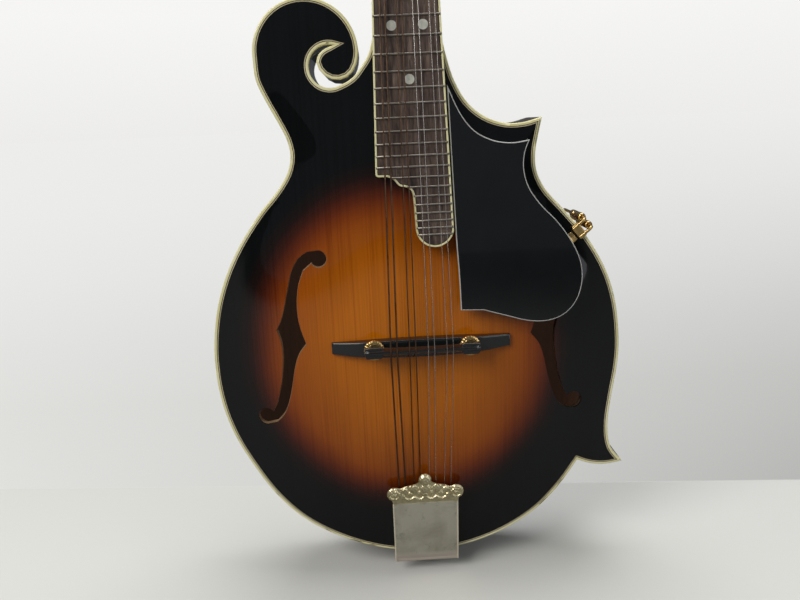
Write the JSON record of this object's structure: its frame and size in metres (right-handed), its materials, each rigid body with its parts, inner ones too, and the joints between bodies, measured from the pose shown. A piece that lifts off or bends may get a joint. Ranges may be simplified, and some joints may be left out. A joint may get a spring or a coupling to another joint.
{
  "type": "mandolin",
  "caption": "F-style mandolin with a scroll and points, sunburst arched top with f-holes, adjustable bridge, sliding tailpiece cover and geared tuners.",
  "frame": {"origin": "centre of the end pin's flat outer face", "axes": "+Z along the centreline towards the headstock, -Y out of the soundboard, +X to the treble side"},
  "size_m": [0.2578, 0.1041, 0.6576],
  "materials": {
    "sunburst_spruce": "gloss lacquer, amber in the middle to black at the edge",
    "dark_maple": "gloss lacquer, dark brown to black",
    "bare_wood": "unfinished",
    "rosewood": "satin, open grain",
    "ebony": "satin",
    "ivory_binding": "aged ivory",
    "black_plastic": "gloss",
    "bone": "polished bone",
    "gold_plate": "gold plated, polished",
    "champagne_plate": "worn pale gold plate",
    "string_steel": "drawn steel and bronze winding",
    "fret_wire": "polished nickel silver",
    "pearl": "mother-of-pearl look"
  },
  "bodies": {
    "body": {"soundboard": "sunburst_spruce", "back_plate": "dark_maple", "rim": "dark_maple", "head_block": "bare_wood", "tail_block": "bare_wood", "upper_point_block": "bare_wood", "lower_point_block": "bare_wood", "top_lining": "bare_wood", "back_lining": "bare_wood", "top_binding": "ivory_binding", "back_binding": "ivory_binding", "bass_tone_bar": "bare_wood", "treble_tone_bar": "bare_wood", "neck": "dark_maple", "truss_rod": "string_steel", "truss_rod_cover": "black_plastic", "nut": "bone", "fretboard": "rosewood", "fretboard_binding": "ivory_binding", "tuner_plate_bass": "champagne_plate", "tuner_plate_treble": "champagne_plate", "bridge_base": "ebony", "bridge_stud_bass": "gold_plate", "bridge_stud_treble": "gold_plate", "tailpiece_base": "champagne_plate", "end_pin": "black_plastic", "string_g_1": "string_steel", "string_g_2": "string_steel", "string_d_1": "string_steel", "string_d_2": "string_steel", "string_a_1": "string_steel", "string_a_2": "string_steel", "string_e_1": "string_steel", "string_e_2": "string_steel", "pickguard": "black_plastic", "pickguard_clamp_top_foot": "gold_plate"},
    "saddle": {"saddle": "ebony"},
    "thumbwheel_bass": {"thumbwheel_bass": "gold_plate"},
    "thumbwheel_treble": {"thumbwheel_treble": "gold_plate"},
    "tailpiece_cover": {"tailpiece_cover": "champagne_plate"},
    "truss_rod_nut": {"truss_rod_nut": "champagne_plate"},
    "pickguard_clamp_barrel_1": {"pickguard_clamp_barrel_1": "gold_plate"},
    "pickguard_clamp_barrel_2": {"pickguard_clamp_barrel_2": "gold_plate"},
    "pickguard_clamp_bottom_foot": {"pickguard_clamp_bottom_foot": "gold_plate"},
    "tuner_button_bass_1": {"tuner_button_bass_1": "champagne_plate"},
    "tuner_button_bass_2": {"tuner_button_bass_2": "champagne_plate"},
    "tuner_button_bass_3": {"tuner_button_bass_3": "champagne_plate"},
    "tuner_button_bass_4": {"tuner_button_bass_4": "champagne_plate"},
    "tuner_button_treble_1": {"tuner_button_treble_1": "champagne_plate"},
    "tuner_button_treble_2": {"tuner_button_treble_2": "champagne_plate"},
    "tuner_button_treble_3": {"tuner_button_treble_3": "champagne_plate"},
    "tuner_button_treble_4": {"tuner_button_treble_4": "champagne_plate"},
    "tuner_post_bass_1": {"tuner_post_bass_1": "champagne_plate"},
    "tuner_post_bass_2": {"tuner_post_bass_2": "champagne_plate"},
    "tuner_post_bass_3": {"tuner_post_bass_3": "champagne_plate"},
    "tuner_post_bass_4": {"tuner_post_bass_4": "champagne_plate"},
    "tuner_post_treble_1": {"tuner_post_treble_1": "champagne_plate"},
    "tuner_post_treble_2": {"tuner_post_treble_2": "champagne_plate"},
    "tuner_post_treble_3": {"tuner_post_treble_3": "champagne_plate"},
    "tuner_post_treble_4": {"tuner_post_treble_4": "champagne_plate"}
  },
  "joints": [
    {"name": "tuner_button_bass_1_turn", "type": "hinge", "parent": "body", "child": "tuner_button_bass_1", "pos_m": [-0.0198, 0.0178, 0.53756], "axis": [1, 0, 0], "continuous": true},
    {"name": "tuner_post_bass_1_turn", "type": "hinge", "parent": "body", "child": "tuner_post_bass_1", "pos_m": [-0.0198, 0.02071, 0.54597], "axis": [0, -0.9449, 0.3272], "continuous": true},
    {"name": "tuner_button_bass_2_turn", "type": "hinge", "parent": "body", "child": "tuner_button_bass_2", "pos_m": [-0.0198, 0.02533, 0.5593], "axis": [1, 0, 0], "continuous": true},
    {"name": "tuner_post_bass_2_turn", "type": "hinge", "parent": "body", "child": "tuner_post_bass_2", "pos_m": [-0.0198, 0.02824, 0.56771], "axis": [0, -0.9449, 0.3272], "continuous": true},
    {"name": "tuner_button_bass_3_turn", "type": "hinge", "parent": "body", "child": "tuner_button_bass_3", "pos_m": [-0.0198, 0.03285, 0.58103], "axis": [1, 0, 0], "continuous": true},
    {"name": "tuner_post_bass_3_turn", "type": "hinge", "parent": "body", "child": "tuner_post_bass_3", "pos_m": [-0.0198, 0.03576, 0.58944], "axis": [0, -0.9449, 0.3272], "continuous": true},
    {"name": "tuner_button_bass_4_turn", "type": "hinge", "parent": "body", "child": "tuner_button_bass_4", "pos_m": [-0.0198, 0.04038, 0.60277], "axis": [1, 0, 0], "continuous": true},
    {"name": "tuner_post_bass_4_turn", "type": "hinge", "parent": "body", "child": "tuner_post_bass_4", "pos_m": [-0.0198, 0.04329, 0.61118], "axis": [0, -0.9449, 0.3272], "continuous": true},
    {"name": "tuner_button_treble_1_turn", "type": "hinge", "parent": "body", "child": "tuner_button_treble_1", "pos_m": [0.0198, 0.0178, 0.53756], "axis": [1, 0, 0], "continuous": true},
    {"name": "tuner_post_treble_1_turn", "type": "hinge", "parent": "body", "child": "tuner_post_treble_1", "pos_m": [0.0198, 0.02071, 0.54597], "axis": [0, -0.9449, 0.3272], "continuous": true},
    {"name": "tuner_button_treble_2_turn", "type": "hinge", "parent": "body", "child": "tuner_button_treble_2", "pos_m": [0.0198, 0.02533, 0.5593], "axis": [1, 0, 0], "continuous": true},
    {"name": "tuner_post_treble_2_turn", "type": "hinge", "parent": "body", "child": "tuner_post_treble_2", "pos_m": [0.0198, 0.02824, 0.56771], "axis": [0, -0.9449, 0.3272], "continuous": true},
    {"name": "tuner_button_treble_3_turn", "type": "hinge", "parent": "body", "child": "tuner_button_treble_3", "pos_m": [0.0198, 0.03285, 0.58103], "axis": [1, 0, 0], "continuous": true},
    {"name": "tuner_post_treble_3_turn", "type": "hinge", "parent": "body", "child": "tuner_post_treble_3", "pos_m": [0.0198, 0.03576, 0.58944], "axis": [0, -0.9449, 0.3272], "continuous": true},
    {"name": "tuner_button_treble_4_turn", "type": "hinge", "parent": "body", "child": "tuner_button_treble_4", "pos_m": [0.0198, 0.04038, 0.60277], "axis": [1, 0, 0], "continuous": true},
    {"name": "tuner_post_treble_4_turn", "type": "hinge", "parent": "body", "child": "tuner_post_treble_4", "pos_m": [0.0198, 0.04329, 0.61118], "axis": [0, -0.9449, 0.3272], "continuous": true},
    {"name": "saddle_lift", "type": "slide", "parent": "body", "child": "saddle", "axis": [0, -1, 0], "range_m": [-0.0006, 0.0014], "deforming": ["string_g_1", "string_g_2", "string_d_1", "string_d_2", "string_a_1", "string_a_2", "string_e_1", "string_e_2"]},
    {"name": "thumbwheel_bass_turn", "type": "hinge", "parent": "saddle", "child": "thumbwheel_bass", "pos_m": [-0.0275, -0.0423, 0.162], "axis": [0, -1, 0], "range_deg": [-270, 630]},
    {"name": "thumbwheel_treble_turn", "type": "hinge", "parent": "saddle", "child": "thumbwheel_treble", "pos_m": [0.0295, -0.0423, 0.162], "axis": [0, -1, 0], "range_deg": [-270, 630]},
    {"name": "tailpiece_cover_slide", "type": "slide", "parent": "body", "child": "tailpiece_cover", "axis": [0, 0.1483, -0.9889], "range_m": [0, 0.045]},
    {"name": "truss_rod_nut_turn", "type": "hinge", "parent": "body", "child": "truss_rod_nut", "pos_m": [0, -0.00376, 0.51976], "axis": [0, 0.0889, 0.996], "range_deg": [-180, 180]},
    {"name": "pickguard_clamp_barrel_1_turn", "type": "hinge", "parent": "body", "child": "pickguard_clamp_barrel_1", "pos_m": [0.10727, 0.0035, 0.22649], "axis": [0, 1, 0], "range_deg": [0, 720]},
    {"name": "pickguard_clamp_barrel_2_turn", "type": "hinge", "parent": "body", "child": "pickguard_clamp_barrel_2", "pos_m": [0.10307, 0.0035, 0.23158], "axis": [0, 1, 0], "range_deg": [0, 720]},
    {"name": "pickguard_clamp_bottom_foot_slide", "type": "slide", "parent": "body", "child": "pickguard_clamp_bottom_foot", "axis": [0, 1, 0], "range_m": [0, 0.002]}
  ],
  "couplings": [
    {"joint": "tuner_post_bass_1_turn", "follows": "tuner_button_bass_1_turn", "ratio": -0.071429},
    {"joint": "tuner_post_bass_2_turn", "follows": "tuner_button_bass_2_turn", "ratio": -0.071429},
    {"joint": "tuner_post_bass_3_turn", "follows": "tuner_button_bass_3_turn", "ratio": -0.071429},
    {"joint": "tuner_post_bass_4_turn", "follows": "tuner_button_bass_4_turn", "ratio": -0.071429},
    {"joint": "tuner_post_treble_1_turn", "follows": "tuner_button_treble_1_turn", "ratio": -0.071429},
    {"joint": "tuner_post_treble_2_turn", "follows": "tuner_button_treble_2_turn", "ratio": -0.071429},
    {"joint": "tuner_post_treble_3_turn", "follows": "tuner_button_treble_3_turn", "ratio": -0.071429},
    {"joint": "tuner_post_treble_4_turn", "follows": "tuner_button_treble_4_turn", "ratio": -0.071429},
    {"joint": "thumbwheel_bass_turn", "follows": "saddle_lift", "rad_per_m": 7854},
    {"joint": "thumbwheel_treble_turn", "follows": "saddle_lift", "rad_per_m": 7854},
    {"joint": "pickguard_clamp_barrel_1_turn", "follows": "pickguard_clamp_bottom_foot_slide", "rad_per_m": 6283.2},
    {"joint": "pickguard_clamp_barrel_2_turn", "follows": "pickguard_clamp_bottom_foot_slide", "rad_per_m": 6283.2}
  ]
}
